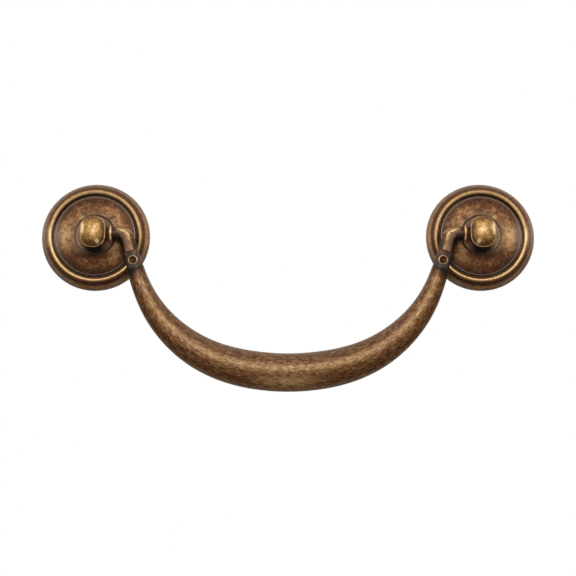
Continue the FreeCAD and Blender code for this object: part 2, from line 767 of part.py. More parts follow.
def make_bail_bar(body):
    """The crescent: oval sections along the spine, from one fork's end to the other."""
    crown, shoulder = bail_radii()
    spine = make_bail_spine(body, crown, shoulder)
    doc.recompute()
    radians = measure(math.pi / HALF_TURN)
    flat, leg = size("crown_half_angle") * radians, size("leg_angle") * radians
    crown_run, shoulder_run = crown * flat, shoulder * (leg - flat)
    straight = size("leg_straight")
    whole = keep("half_length", crown_run + shoulder_run + straight)
    stub = straight - size("rivet_reach") + size("fork_overlap")
    left_leg, left_shoulder, bottom, right_shoulder, right_leg = 1, 2, 3, 4, 5
    runs = []
    for place in (0.0, 0.5):
        runs.append((left_leg, place, whole - straight + stub * (1 - place)))
    for place in (0.0, 0.25, 0.5, 0.75):
        runs.append((left_shoulder, place, crown_run + shoulder_run * (1 - place)))
    for place in (0.0, 0.25, 0.5, 0.75):
        runs.append((bottom, place, crown_run * abs(1 - 2 * place)))
    for place in (0.0, 0.25, 0.5, 0.75):
        runs.append((right_shoulder, place, crown_run + shoulder_run * place))
    for place in (0.0, 0.5, 1.0):
        runs.append((right_leg, place, whole - straight + stub * place))
    sections = [
        make_bail_section(body, spine, edge, place, run / whole) for edge, place, run in runs]
    loft_through(body, "bail_bar", sections)


def on_side(point, side):
    """Move a point measured from a post to the bail's own middle, on one side or the other."""
    return (size("hole_centres") / 2 - point[0]) * side, point[1]


def cut_forks(body):
    """Slots for the tongues and holes for the rivets."""
    reach, margin = size("rivet_reach"), size("cut_margin")
    start = reach - size("fork_overlap") - margin
    floor = reach + size("tongue_width") / 2 + size("slot_end_gap")
    half = size("end_width") / 2 + margin
    slots = new_sketch(body, "fork_slot_outlines", FRONT_PLANE)
    holes = new_sketch(body, "rivet_hole_outlines", FRONT_PLANE)
    for side in (LEFT, RIGHT):
        corners = ((start, -half), (floor, -half), (floor, half), (start, half))
        draw(slots, *(on_side(along_leg(*corner), side) for corner in corners))
        shank = size("rivet_shank") / 2 + size("rivet_clearance")
        draw_circle(holes, on_side(along_leg(reach), side), shank)
    feature(body, "Pocket", "fork_slots", slots, size("fork_slot"), both_ways=True)
    feature(body, "Pocket", "rivet_holes", holes, size("grip_depth"), both_ways=True)


def flatten_fork(body, side):
    """Flats for the rivet to close on, front and back, each running out in a hollow curve."""
    margin, runout = size("cut_margin"), size("flat_runout")
    flat = size("fork_thickness") / 2
    clear = size("end_depth") / 2 + margin
    start = size("rivet_reach") - size("fork_overlap") - margin
    end = size("rivet_reach") + size("rivet_head") / 2 + size("flat_beyond")
    run = other_leg(runout, runout - clear + flat)
    lean = (size("leg_angle") - QUARTER_TURN) * -side
    name = f"{SIDE_NAMES[side]}_fork_flats"
    sketch = new_section(
        body, name + "_outline", on_side((size("knee_offset"), ZERO), side), lean)
    for face in (1, -1):
        draw(
            sketch,
            (flat * face, -start),
            (flat * face, -end),
            (clear * face, -(end + run), runout * face),
            (clear * face, -start),
        )
    feature(body, "Pocket", name, sketch, size("grip_width"), both_ways=True)


def make_bail():
    body = new_body("bail")
    make_bail_bar(body)
    cut_forks(body)
    for side in (LEFT, RIGHT):
        flatten_fork(body, side)
    put(body, ZERO, size("pivot_standoff"))
    return body


def check(parts):
    """Stop before anything is written if a feature failed or a piece isn't one sound solid."""
    for item in doc.Objects:
        if "Invalid" in item.State or "Error" in item.State:
            raise RuntimeError(f"{item.Label} failed: {item.State}")
    for part in parts:
        shape = part.Shape
        if shape.isNull() or not shape.isValid() or len(shape.Solids) != 1:
            raise RuntimeError(f"{part.Label} isn't one sound solid")


def main():
    parts = [make_bail()]
    for side in (LEFT, RIGHT):
        parts += [make_backplate(side), make_post(side), make_elbow(side), make_rivet(side)]
    doc.recompute()
    check(parts)
    os.makedirs("parts", exist_ok=True)
    for part in parts:
        part.Shape.exportStep(f"parts/{part.Label}.step")
        print(f"{part.Label}: {part.Shape.Volume:.1f} mm3, {len(part.Shape.Faces)} faces")


main()
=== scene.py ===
# %% [markdown]
# # A drawer's bail pull in aged brass
#
# The pull has two round backplates, a post through each, and a crescent bail that hangs between
# the posts on bent elbows. Its solids come ready made as the frame, so nothing new is modelled:
# this lesson gives them their finish, and sets up a camera, a floor and light. Everything is in
# metres. X runs along the two screws, Z is up, and the pull stands out from the drawer's face
# towards -Y.

# %% Load the frame
import math

import bpy
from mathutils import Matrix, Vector

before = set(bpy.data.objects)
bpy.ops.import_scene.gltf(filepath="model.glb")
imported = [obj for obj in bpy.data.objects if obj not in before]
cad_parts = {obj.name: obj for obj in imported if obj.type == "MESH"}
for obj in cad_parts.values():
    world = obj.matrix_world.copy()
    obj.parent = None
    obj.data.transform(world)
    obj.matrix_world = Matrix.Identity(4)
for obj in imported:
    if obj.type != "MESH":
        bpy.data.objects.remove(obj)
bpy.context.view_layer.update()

MM = 0.001
print("pieces:", ", ".join(sorted(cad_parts)))

# %% [markdown]
# The pull is looked at from straight in front and a little below, so that the heads of the posts
# ride up over their plates. A camera could be dragged to its place by eye. Here it stands at an
# angle and a distance from the point it aims at, just under the swing axis, because those are
# what a photographer chooses, and each can be changed without the other.

# %% Set up the camera
VIEW_BELOW = math.radians(10)
VIEW_DISTANCE = 540 * MM
FIELD_OF_VIEW = math.radians(20.076)
NEAREST_SEEN = 10 * MM
aim = Vector((0, 0, -17 * MM))

towards_camera = Vector((0, -math.cos(VIEW_BELOW), -math.sin(VIEW_BELOW)))
camera_data = bpy.data.cameras.new("Camera")
camera_data.angle = FIELD_OF_VIEW
camera_data.clip_start = NEAREST_SEEN
camera = bpy.data.objects.new("Camera", camera_data)
camera.location = aim + towards_camera * VIEW_DISTANCE
camera.rotation_euler = (-towards_camera).to_track_quat("-Z", "Y").to_euler()
bpy.context.scene.collection.objects.link(camera)
bpy.context.scene.camera = camera
print("camera at", [round(value, 3) for value in camera.location])

# %% [markdown]
# A colour picked on a screen is an sRGB hex value, and Blender's shaders want linear numbers.
# One function does that sum. One more adds a node with its settings and links, so that a
# material reads as a list of what it is made of, and not as rows of links.

# %% Helpers for materials
def linear(hex_value):
    """An sRGB colour such as "8a6a3c" as linear red, green, blue and a full alpha."""
    channels = [int(hex_value[i : i + 2], 16) / 255 for i in (0, 2, 4)]
    curve = [c / 12.92 if c <= 0.04045 else ((c + 0.055) / 1.055) ** 2.4 for c in channels]
    return (*curve, 1.0)


def add_node(tree, kind, inputs=None, **settings):
    """Add a node, set its properties, and fill or link its inputs by name or number."""
    node = tree.nodes.new(kind)
    for name, value in settings.items():
        setattr(node, name, value)
    for key, value in (inputs or {}).items():
        socket = node.inputs[key]
        if isinstance(value, bpy.types.NodeSocket):
            tree.links.new(value, socket)
        else:
            socket.default_value = value
    return node


print("brass yellow in linear light:", [round(c, 3) for c in linear("b08d57")[:3]])

# %% [markdown]
# The floor is plain, pale and matt. It lies so far below the pull that the camera, which looks
# slightly upwards, never sees it. A view from above does, with the pull's soft shadow on it. A
# plane is enough for a floor that has no edge in any view, and its place goes into its mesh.

# %% Lay the floor
FLOOR_DROP = 125 * MM
FLOOR_SIZE = 6.0
FLOOR_WHITE = "e8e6e2"
MATT = 0.9

bpy.ops.object.select_all(action="DESELECT")
bpy.ops.mesh.primitive_plane_add(size=FLOOR_SIZE, location=(0, 0, -FLOOR_DROP))
floor = bpy.context.object
floor.name = "floor"
bpy.ops.object.transform_apply(location=True)
floor_paint = bpy.data.materials.new("matt_white_floor")
floor_paint.use_nodes = True
floor_shader = floor_paint.node_tree.nodes["Principled BSDF"]
floor_shader.inputs["Base Color"].default_value = linear(FLOOR_WHITE)
floor_shader.inputs["Roughness"].default_value = MATT
floor.data.materials.append(floor_paint)
print("floor laid", FLOOR_DROP, "m below the screws")

# %% [markdown]
# What metal looks like is mostly what it mirrors, so the room comes before the lamps. The room
# is white to the camera and in reflections, and a quieter, even fill for everything else. The
# Light Path node tells the two apart, where one plain colour would either wash the brass out or
# leave the room grey.

# %% Paint the room white
FILL = 0.45
ROOM_WHITE = 1.0

world = bpy.data.worlds.new("white_room")
bpy.context.scene.world = world
world.use_nodes = True
sky = world.node_tree
sky.nodes.clear()
path = add_node(sky, "ShaderNodeLightPath")
seen = add_node(
    sky, "ShaderNodeMath",
    {0: path.outputs["Is Camera Ray"], 1: path.outputs["Is Glossy Ray"]}, operation="MAXIMUM")
seen = add_node(
    sky, "ShaderNodeMath",
    {0: seen.outputs[0], 1: path.outputs["Is Transmission Ray"]}, operation="MAXIMUM")
level = add_node(
    sky, "ShaderNodeMapRange",
    {"Value": seen.outputs[0], "To Min": FILL, "To Max": ROOM_WHITE})
glow = add_node(
    sky, "ShaderNodeBackground", {"Color": (1, 1, 1, 1), "Strength": level.outputs[0]})
add_node(sky, "ShaderNodeOutputWorld", {"Surface": glow.outputs[0]})
bpy.context.scene.view_settings.view_transform = "Standard"
print("room strength", ROOM_WHITE, "where it is seen and", FILL, "as fill")

# %% [markdown]
# One broad softbox hangs in front and above, and a tall, narrow one stands on each side. The
# front one lights every face that looks forwards. The side ones brighten the flanks, which is
# what makes the heads and the bail look round. Each lamp is given the brightness of its face,
# because a bigger box then gives more light by itself, as a real one does.

# %% Hang the softboxes
def hang_softbox(name, azimuth, elevation, distance, width, height, brightness):
    """A rectangular lamp that faces the pull; brightness is that of its face, 1 being white."""
    a, e = math.radians(azimuth), math.radians(elevation)
    away = Vector((math.sin(a) * math.cos(e), -math.cos(a) * math.cos(e), math.sin(e)))
    lamp = bpy.data.lights.new(name, "AREA")
    lamp.shape = "RECTANGLE"
    lamp.size, lamp.size_y = width, height
    lamp.energy = brightness * math.pi * width * height
    holder = bpy.data.objects.new(name, lamp)
    holder.location = aim + away * distance
    holder.rotation_euler = (-away).to_track_quat("-Z", "Y").to_euler()
    bpy.context.scene.collection.objects.link(holder)
    print(name, "gives", round(lamp.energy, 2), "W")


hang_softbox(
    "softbox_front", azimuth=0, elevation=20, distance=0.9, width=0.8, height=0.32,
    brightness=1.9)
for side, azimuth in (("left", -36), ("right", 36)):
    hang_softbox(
        f"softbox_{side}", azimuth=azimuth, elevation=14, distance=0.95, width=0.2, height=0.6,
        brightness=1.6)

# %% [markdown]
# The metal is brass that was darkened chemically, rubbed back by hand and lacquered. The dark
# patina stays in the grooves and pits, and the high places show gold. So every finish here has
# one number at each point, its wear, from 0 for black patina to 1 for bright gold, and a ramp
# turns that number into a colour. That number also carries painted light: it is set lower where
# the pull lies in shade and higher where it catches the lamps, as painted shade and painted
# highlights. It could be painted on a picture, but that needs a map of each piece. It is worked
# out from a point's place on the piece instead, which stays with the piece when the bail swings.
# The first part of that sum is a ramp along any measure: a distance, a depth or an angle.

# %% Ramps
def profile(tree, value, stops):
    """Blend along (position, grey level or hex colour) stops, in a colour ramp."""
    first, last = stops[0][0], stops[-1][0]
    share = add_node(
        tree, "ShaderNodeMapRange", {"Value": value, "From Min": first, "From Max": last})
    node = add_node(tree, "ShaderNodeValToRGB", {"Fac": share.outputs[0]})
    elements = node.color_ramp.elements
    while len(elements) < len(stops):
        elements.new(0.5)
    for element, (position, look) in zip(elements, stops):
        element.position = (position - first) / (last - first)
        element.color = linear(look) if isinstance(look, str) else (look, look, look, 1)
    return node.outputs["Color"]


print("wear runs from 0, black patina, to 1, bright gold")

# %% [markdown]
# The two halves of the pull are mirror images, and were rubbed alike. So the left half is folded
# on the right one with an absolute value, and each pattern is written once. Places are counted
# in millimetres from a centre: X grows away from the pull's middle, Y towards the drawer, Z up.

# %% Places on the pull
HALF_SPACING = 64.0  # mm from the pull's middle to each screw


def place_mm(tree):
    """A point's place in millimetres."""
    place = add_node(tree, "ShaderNodeTexCoord").outputs["Object"]
    return add_node(
        tree, "ShaderNodeMapping",
        {"Vector": place, "Scale": (1 / MM, 1 / MM, 1 / MM)}).outputs[0]


def folded_place(tree, centre_mm):
    """A point's place in millimetres from a centre, with the left half folded on the right."""
    parts = add_node(tree, "ShaderNodeSeparateXYZ", {0: place_mm(tree)})
    across = add_node(
        tree, "ShaderNodeMath", {0: parts.outputs["X"]}, operation="ABSOLUTE").outputs[0]
    folded = add_node(
        tree, "ShaderNodeCombineXYZ",
        {"X": across, "Y": parts.outputs["Y"], "Z": parts.outputs["Z"]}).outputs[0]
    return add_node(
        tree, "ShaderNodeVectorMath", {0: folded, 1: centre_mm},
        operation="SUBTRACT").outputs[0]


def from_axis(tree, place):
    """Distance from a line that runs front to back."""
    flat = add_node(
        tree, "ShaderNodeVectorMath", {0: place, 1: (1, 0, 1)}, operation="MULTIPLY")
    return add_node(
        tree, "ShaderNodeVectorMath", {0: flat.outputs[0]}, operation="LENGTH").outputs["Value"]


print("the screws are", 2 * HALF_SPACING, "mm apart")

# %% [markdown]
# Soft patches are laid over the ramps, both for uneven wear and for painted highlights and
# painted shade. A patch is a ball that is stretched and leaned by a Mapping node, and it fades
# from its centre to nothing at its radii. A blurred picture would do the same, but a patch is one
# short row that can be read and moved.

# %% Patches
def add_patches(tree, level, place, patches):
    """Add soft patches to a level, each with its centre, radii, lean in degrees and strength."""
    for centre_mm, radii_mm, lean, strength in patches:
        near = add_node(
            tree, "ShaderNodeMapping",
            {"Vector": place, "Location": centre_mm, "Rotation": (0, math.radians(lean), 0),
             "Scale": radii_mm}, vector_type="TEXTURE")
        away = add_node(
            tree, "ShaderNodeVectorMath", {0: near.outputs[0]}, operation="LENGTH")
        patch = add_node(
            tree, "ShaderNodeMapRange",
            {"Value": away.outputs["Value"], "From Min": 1.0, "From Max": 0.0},
            interpolation_type="SMOOTHSTEP")
        level = add_node(
            tree, "ShaderNodeMath", {0: patch.outputs[0], 1: strength, 2: level},
            operation="MULTIPLY_ADD").outputs[0]
    return level


print("a patch has a centre, radii, a lean and a strength")

# %% [markdown]
# One function makes the brass itself. Brass is a metal, so its colour is the colour of what it
# mirrors, and how sharply it mirrors is its roughness: worn places are smoother than patina. A
# mottle breaks up every border, and the same clouds, as low dents from the casting, make the
# reflections uneven. A grey haze is mixed into the colour; mostly it is painted sheen, the pale
# grey of edges and bright bands that mirror the white room, and round the rivets it greys the
# dark flats of the forks. A thin clear lacquer greys the outlines. Five materials made one by one
# would say all this five times.

# %% Aged brass
# The grey of the haze and of the painted sheen.
HAZE_AND_SHEEN_GREY = "8c7a6a"
CLOUDS = {"Detail": 5.0, "Roughness": 0.75, "Distortion": 0.35}  # large clouds with finer ones
CLOUD_SPAN = (0.3, 0.7)  # nearly all of the noise lies between these
PATINA_ROUGHER = 0.2
DENT_DEPTH, DENT_STRENGTH = 0.06 * MM, 0.5
LACQUER_WEIGHT, LACQUER_ROUGHNESS = 0.15, 0.3


def aged_brass(name, maps, tones, mottle_mm, shine):
    """A brass from its maps: wear and painted light, haze and painted sheen, mottle, and where it
    is drawn.
    """
    material = bpy.data.materials.new(name)
    material.use_nodes = True
    tree = material.node_tree
    shader = tree.nodes["Principled BSDF"]
    # The wear map also carries painted highlights and painted shade, and the haze map the painted
    # sheen.
    wear, haze, mottle, place = maps(tree)
    cloud = add_node(
        tree, "ShaderNodeTexNoise", {"Vector": place, "Scale": 1 / mottle_mm, **CLOUDS}
    ).outputs["Fac"]
    spread = add_node(
        tree, "ShaderNodeMapRange",
        {"Value": cloud, "From Min": CLOUD_SPAN[0], "From Max": CLOUD_SPAN[1],
         "To Min": -1.0, "To Max": 1.0})
    wear = add_node(
        tree, "ShaderNodeMath", {0: spread.outputs[0], 1: mottle, 2: wear},
        operation="MULTIPLY_ADD").outputs[0]
    colour = add_node(
        tree, "ShaderNodeMix",
        {"Factor": haze, 6: profile(tree, wear, tones), 7: linear(HAZE_AND_SHEEN_GREY)}, data_type="RGBA")
    tree.links.new(colour.outputs[2], shader.inputs["Base Color"])
    polish = add_node(
        tree, "ShaderNodeMapRange",
        {"Value": wear, "To Min": shine + PATINA_ROUGHER, "To Max": shine})
    tree.links.new(polish.outputs[0], shader.inputs["Roughness"])
    dents = add_node(
        tree, "ShaderNodeBump",
        {"Height": cloud, "Strength": DENT_STRENGTH, "Distance": DENT_DEPTH})
    tree.links.new(dents.outputs[0], shader.inputs["Normal"])
    shader.inputs["Metallic"].default_value = 1.0
    shader.inputs["Coat Weight"].default_value = LACQUER_WEIGHT
    shader.inputs["Coat Roughness"].default_value = LACQUER_ROUGHNESS
    return material


def dress(material, *names):
    """Give CAD nodes a finish."""
    for name in names:
        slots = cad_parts[name].data.materials
        slots.clear()
        slots.append(material)
    print(material.name, "on", ", ".join(names))


print("dents", DENT_DEPTH / MM, "mm deep")

# %% [markdown]
# The backplates were turned on a lathe, so their wear goes in rings round the screw. The bead
# stands highest and is rubbed to gold all round. The groove inside it was never touched and stays
# dark. The domed field is a mottled brown, reddish where it is dark, with a dull gold on its
# outer side that is a painted highlight. The slope round the post's foot is painted light,
# against the dark it mirrors from the foot, and a painted pale sheen lies round the foot, on the
# field's thin edge and on the rim's outer edge. A ramp over the distance from the screw draws the
# rings, as the lathe did, and patches lay painted highlights and painted shade over them.

# %% Rings on the backplates
PLATE_TONES = (
    (0, "160f0a"), (0.2, "452b19"), (0.35, "603a20"), (0.5, "84603d"), (0.65, "9d7850"),
    (0.8, "b5925f"), (1, "ecca94"))
PLATE_WEAR_AND_LIGHT = (  # mm from the screw, wear
    # Painted highlight: the slope is set light against the dark it mirrors from the foot.
    (5.5, 0.4), (6.15, 0.8), (7.0, 0.7),  # the slope round the post's foot
    (7.2, 0.4), (7.6, 0.36), (8.4, 0.38), (10.2, 0.41), (11.3, 0.34), (12.1, 0.24),  # the field
    (13.0, 0.14), (13.15, 0.36), (13.38, 0.36), (13.45, 0.12), (13.9, 0.1),  # edge and groove
    (14.1, 0.55), (14.3, 0.88), (14.8, 0.88), (15.1, 0.72), (15.35, 0.52),  # the bead
    (15.65, 0.36), (15.95, 0.25), (16.4, 0.18), (16.8, 0.38), (17.2, 0.52), (17.9, 0.42))  # rim
# Painted sheen: pale grey round the post's foot, on the field's thin edge and on the rim's outer
# edge.
PLATE_SHEEN = (
    (6.0, 0.55), (7.0, 0.45), (7.3, 0.16), (9.0, 0.05), (11.3, 0.0), (12.9, 0.1), (13.15, 0.75),
    (13.36, 0.75), (13.45, 0.0), (16.5, 0.0), (16.9, 0.3), (17.2, 0.5), (17.6, 0.55))
PLATE_MOTTLE = ((7.0, 0.1), (8.0, 0.22), (12.0, 0.22), (14.0, 0.1), (18.0, 0.13))
print("a plate has", len(PLATE_WEAR_AND_LIGHT), "stops of wear from", PLATE_WEAR_AND_LIGHT[0][0], "mm out")

# %% [markdown]
# The patches are painted light and shade: the field's outer side, the bead's outer side and the
# places beside the post are painted lighter, as highlights, and the arc under the post and the
# ring's edge above the elbow darker, as painted shadow. The painted sheen is thickest on the
# outer side and is taken off at the bottom.

# %% Painted light and shade on the backplates
PLATE_LIGHT_AND_SHADE_PATCHES = (  # centre, radii, lean, strength
    ((9.8, -3, -0.5), (4.5, 9, 8), 0, 0.24),  # the field's outer side
    ((-5.8, -3, 6.2), (5, 9, 6), 0, 0.14),  # above the elbow
    ((0, -3, 10.5), (7, 9, 4), 0, -0.06),  # the field's top
    ((15.6, -3, 0), (1.2, 9, 8), 0, 0.3),  # the bead's outer side
    ((0, -3, -9.6), (9, 9, 3.2), 0, -0.06),  # the field's bottom
    ((-17, -3, 0), (2.4, 9, 12), 0, 0.12),  # the rim's inner side
    ((7, -3, -7.5), (5.5, 9, 5.5), 0, -0.1),  # its outer side, low down
    ((-6.5, -3, -8), (4, 9, 4), 0, 0.12),  # beside the elbow's leg
    ((0.6, -3, -6.2), (7.5, 9, 2.6), 0, -0.4),  # under the post
    ((-4.6, -3, 5.2), (4.4, 9, 1.5), 40, -0.3),  # the slope above the elbow
    ((3.8, -3, 5.4), (3.4, 9, 1.4), -40, 0.35),  # and its mirror place
)
# Painted sheen, thickest on the outer side and taken off at the bottom.
PLATE_SHEEN_PATCHES = (
    ((13, -3, 0), (4, 9, 8), 0, 0.45),
    ((0, -3, -10), (9, 9, 5), 0, -0.3),
    ((-1, -3, -7), (9, 9, 3), 0, -0.4),
    ((0, -3, -17.5), (12, 9, 5), 0, -0.5),
    ((17.5, -3, 2), (2.5, 9, 12), 0, 0.35),
    ((-17, -3, 0), (4, 9, 12), 0, -0.4),
)
print(len(PLATE_LIGHT_AND_SHADE_PATCHES), "patches of wear and", len(PLATE_SHEEN_PATCHES), "of haze")

# %% [markdown]
# A plate is hollow behind, where nothing rubs it and all its patina is left. A point is on that
# hidden side when it stands off the drawer no further than the hollow does, at its distance
# from the screw. A second material for those faces would need them picked out by hand.
#
# It is turned, cast brass. Its satin gloss gives broad, soft reflections. Patina comes off it in
# specks from hundredths of a millimetre up to about one. The finest are too small to show, so
# the largest clouds are drawn 1.25 mm wide, and the finer ones inside them do the rest.

# %% Dress the backplates
HOLLOW_BACK = (  # mm from the screw, how far the hollow reaches from the drawer's face
    (6.0, 3.4), (8.8, 3.0), (12.7, 1.9), (16.1, 1.0), (16.4, 0.2), (18.0, 0.2))
DEEPEST = 4.0  # mm, which a level of 1 in the ramp stands for
BACK_BEGINS, BACK_ENDS = -0.4, -0.1  # mm in front of the hollow's surface, as a minus
UNTOUCHED = -0.5  # added to the wear of the back


def plate_maps(tree):
    """Wear with painted light and shade, painted sheen and mottle of a plate, from its rings,
    patches and hollow back.
    """
    place = folded_place(tree, (HALF_SPACING, 0, 0))
    radius = from_axis(tree, place)
    wear = add_patches(tree, profile(tree, radius, PLATE_WEAR_AND_LIGHT), place, PLATE_LIGHT_AND_SHADE_PATCHES)
    haze = add_patches(tree, profile(tree, radius, PLATE_SHEEN), place, PLATE_SHEEN_PATCHES)
    depth = add_node(tree, "ShaderNodeSeparateXYZ", {0: place}).outputs["Y"]
    hollow = profile(tree, radius, [(at, reach / DEEPEST) for at, reach in HOLLOW_BACK])
    behind = add_node(
        tree, "ShaderNodeMath", {0: hollow, 1: DEEPEST, 2: depth},
        operation="MULTIPLY_ADD").outputs[0]
    behind = add_node(
        tree, "ShaderNodeMapRange",
        {"Value": behind, "From Min": BACK_BEGINS, "From Max": BACK_ENDS})
    wear = add_node(
        tree, "ShaderNodeMath", {0: behind.outputs[0], 1: UNTOUCHED, 2: wear},
        operation="MULTIPLY_ADD").outputs[0]
    return wear, haze, profile(tree, radius, PLATE_MOTTLE), place_mm(tree)


turned_brass = aged_brass("turned_aged_brass", plate_maps, PLATE_TONES, mottle_mm=1.25, shine=0.3)
dress(turned_brass, "left_backplate", "right_backplate")

# %% [markdown]
# The posts' cushion-shaped fronts are painted with highlights: a pinkish gold in the middle, a
# pale strip at the outer side and a small bright mark at the lower inner corner, with an olive
# brown between and painted shade at the top, bottom and inner side. Behind the collar the waist
# is painted nearly black as shade, the foot gets a painted shadow below the head, the collar's
# edge a painted pale reflection, and the rim of the side socket a painted highlight. The heads
# stand out and the waist lies back, so this goes by depth here and not by rings.

# %% Tone and painted light on the posts
POST_TONES = (
    (0, "150f0b"), (0.3, "563319"), (0.42, "764c27"), (0.5, "836132"), (0.65, "a07c46"),
    (0.8, "cfa274"), (1, "f6dcb0"))
POST_TONE_AND_LIGHT = (  # mm in front of the drawer's face, as a minus, and wear
    (-14, 0.54), (-13, 0.54), (-12.2, 0.5), (-11.1, 0.42), (-10.75, 0.35),  # the head
    # Painted reflection: the collar's pale edge.
    (-10.6, 0.82), (-10.0, 0.7),  # the collar
    # Painted shade: the waist behind the head.
    (-9.7, 0.1), (-8.5, 0.15), (-6.6, 0.3),  # the waist
    (-5.2, 0.36), (-4.6, 0.4), (-4.2, 0.4), (-0.6, 0.2))  # foot and tail
# Painted sheen on the collar's edge and round the foot.
POST_SHEEN = (
    (-10.65, 0.0), (-10.6, 0.45), (-9.8, 0.45), (-9.7, 0.0), (-6, 0.1), (-4.6, 0.42),
    (-3.9, 0.0))
# Painted light and shade: highlights on the head's front and the socket's rim, shade at the
# head's top, bottom and inner side, and a painted shadow on the foot below the head and above the
# socket.
POST_LIGHT_AND_SHADE_PATCHES = (
    ((-0.8, -13.5, -0.1), (3.5, 3, 4.2), 0, 0.28),  # the middle of the front
    ((3.4, -12.8, 0.6), (1.6, 3, 3.2), 0, 0.85),  # the strip at its outer side
    ((0.9, -13, -4.3), (3.2, 4, 1.9), 0, -0.14),  # its bottom
    ((0.2, -13, 4.4), (3.4, 4, 1.6), 0, -0.14),  # its top
    ((-2.0, -13, -4.0), (1.1, 3, 1.7), 35, 0.75),  # its lower inner corner
    ((-3.2, -12.5, 0.8), (0.9, 3, 3.4), 0, -0.12),  # its inner side
    ((0, -5, -5.5), (7, 3, 4.4), 0, -0.6),  # the foot below
    ((-4.4, -5, 3.2), (3.8, 3, 3.4), 0, -0.35),  # the foot above the socket
    ((-4.6, -7.5, -0.5), (1.3, 3, 3.5), 0, 0.12),  # the socket's side
    ((-5.7, -7, 0), (0.75, 6, 6), 0, 1.25),  # the socket's rim
)
# Painted shade: the sheen is taken off the foot below the head.
POST_SHEEN_PATCHES = (((0, -4.5, -5), (7, 2, 5), 0, -0.5),)
print("wear runs over the posts from", POST_TONE_AND_LIGHT[0][0], "to", POST_TONE_AND_LIGHT[-1][0], "mm")

# %% [markdown]
# It is cast brass, rubbed by hand: a little duller than the turned plates, which keeps the
# reflection on the head broad. Its finest specks are smaller than a pixel, so they are drawn
# 0.9 mm wide, nearly three pixels, as coarse as they need to be to show.

# %% Dress the posts
POST_MOTTLE = 0.2


def post_maps(tree):
    """Tone with painted light and shade, and painted sheen, of a post, from its depth and
    patches.
    """
    place = folded_place(tree, (HALF_SPACING, 0, 0))
    depth = add_node(tree, "ShaderNodeSeparateXYZ", {0: place}).outputs["Y"]
    wear = add_patches(tree, profile(tree, depth, POST_TONE_AND_LIGHT), place, POST_LIGHT_AND_SHADE_PATCHES)
    haze = add_patches(tree, profile(tree, depth, POST_SHEEN), place, POST_SHEEN_PATCHES)
    return wear, haze, POST_MOTTLE, place_mm(tree)


post_brass = aged_brass(
    "cast_aged_brass_painted_light", post_maps, POST_TONES, mottle_mm=0.9, shine=0.42)
dress(post_brass, "left_post", "right_post")

# %% [markdown]
# The bail was polished along its length, which left fine streaks that follow its curve. Its
# centre line is a flat bottom arc, the crown, that meets a tighter arc at each shoulder and ends
# in a straight leg. The sizes are the solid's own. The two radii follow from them, because the
# arcs have to meet without a kink and come out at the straight leg.

# %% The bail's curve
BAIL_DROP, STANDOFF = 46.1, 7.0
LEG_DEGREES = 73
LEG_ANGLE, CROWN_ANGLE = math.radians(LEG_DEGREES), math.radians(14.2)
LEG_LEAN = 90 - LEG_DEGREES
KNEE_OFFSET, LEG_STRAIGHT = 10.4, 14.4

bend_across = HALF_SPACING - KNEE_OFFSET - LEG_STRAIGHT * math.cos(LEG_ANGLE)
bend_deep = BAIL_DROP - LEG_STRAIGHT * math.sin(LEG_ANGLE)
rise = math.cos(CROWN_ANGLE) - math.cos(LEG_ANGLE)
run = math.sin(LEG_ANGLE) - math.sin(CROWN_ANGLE)
sag = 1 - math.cos(CROWN_ANGLE)
SHOULDER_RADIUS = (
    (math.sin(CROWN_ANGLE) * bend_deep - sag * bend_across)
    / (math.sin(CROWN_ANGLE) * rise - sag * run))
CROWN_RADIUS = (bend_across - run * SHOULDER_RADIUS) / math.sin(CROWN_ANGLE)
CROWN_CENTRE = (0, -STANDOFF, CROWN_RADIUS - BAIL_DROP)
SHOULDER_CENTRE = (
    (CROWN_RADIUS - SHOULDER_RADIUS) * math.sin(CROWN_ANGLE), -STANDOFF,
    CROWN_CENTRE[2] - (CROWN_RADIUS - SHOULDER_RADIUS) * math.cos(CROWN_ANGLE))
print("bail arcs", round(CROWN_RADIUS, 2), "and", round(SHOULDER_RADIUS, 2), "mm")

# %% [markdown]
# For streaks that bend with the bar, a point's place is measured along the centre line and out
# from it. Each arc gives both: the angle about its centre times its radius, and the distance
# from its centre less its radius. An unwrapped map of the bail would do the same, but the mesh
# of a ready made solid is left as it came.

# %% Places along the bail
def round_arc(tree, centre_mm, radius_mm, start_angle, start_run):
    """How far a point lies along an arc of the bail, behind its middle and out from it."""
    parts = add_node(tree, "ShaderNodeSeparateXYZ", {0: folded_place(tree, centre_mm)})
    across, depth, up = (parts.outputs[axis] for axis in "XYZ")
    flat = add_node(tree, "ShaderNodeCombineXYZ", {"X": across, "Z": up}).outputs[0]
    out = add_node(
        tree, "ShaderNodeMath", {0: from_axis(tree, flat), 1: radius_mm},
        operation="SUBTRACT").outputs[0]
    down = add_node(tree, "ShaderNodeMath", {0: up, 1: -1.0}, operation="MULTIPLY").outputs[0]
    angle = add_node(
        tree, "ShaderNodeMath", {0: across, 1: down}, operation="ARCTAN2").outputs[0]
    along = add_node(
        tree, "ShaderNodeMath",
        {0: angle, 1: radius_mm, 2: start_run - start_angle * radius_mm},
        operation="MULTIPLY_ADD").outputs[0]
    place = add_node(
        tree, "ShaderNodeCombineXYZ", {"X": along, "Y": depth, "Z": out}).outputs[0]
    return place, angle


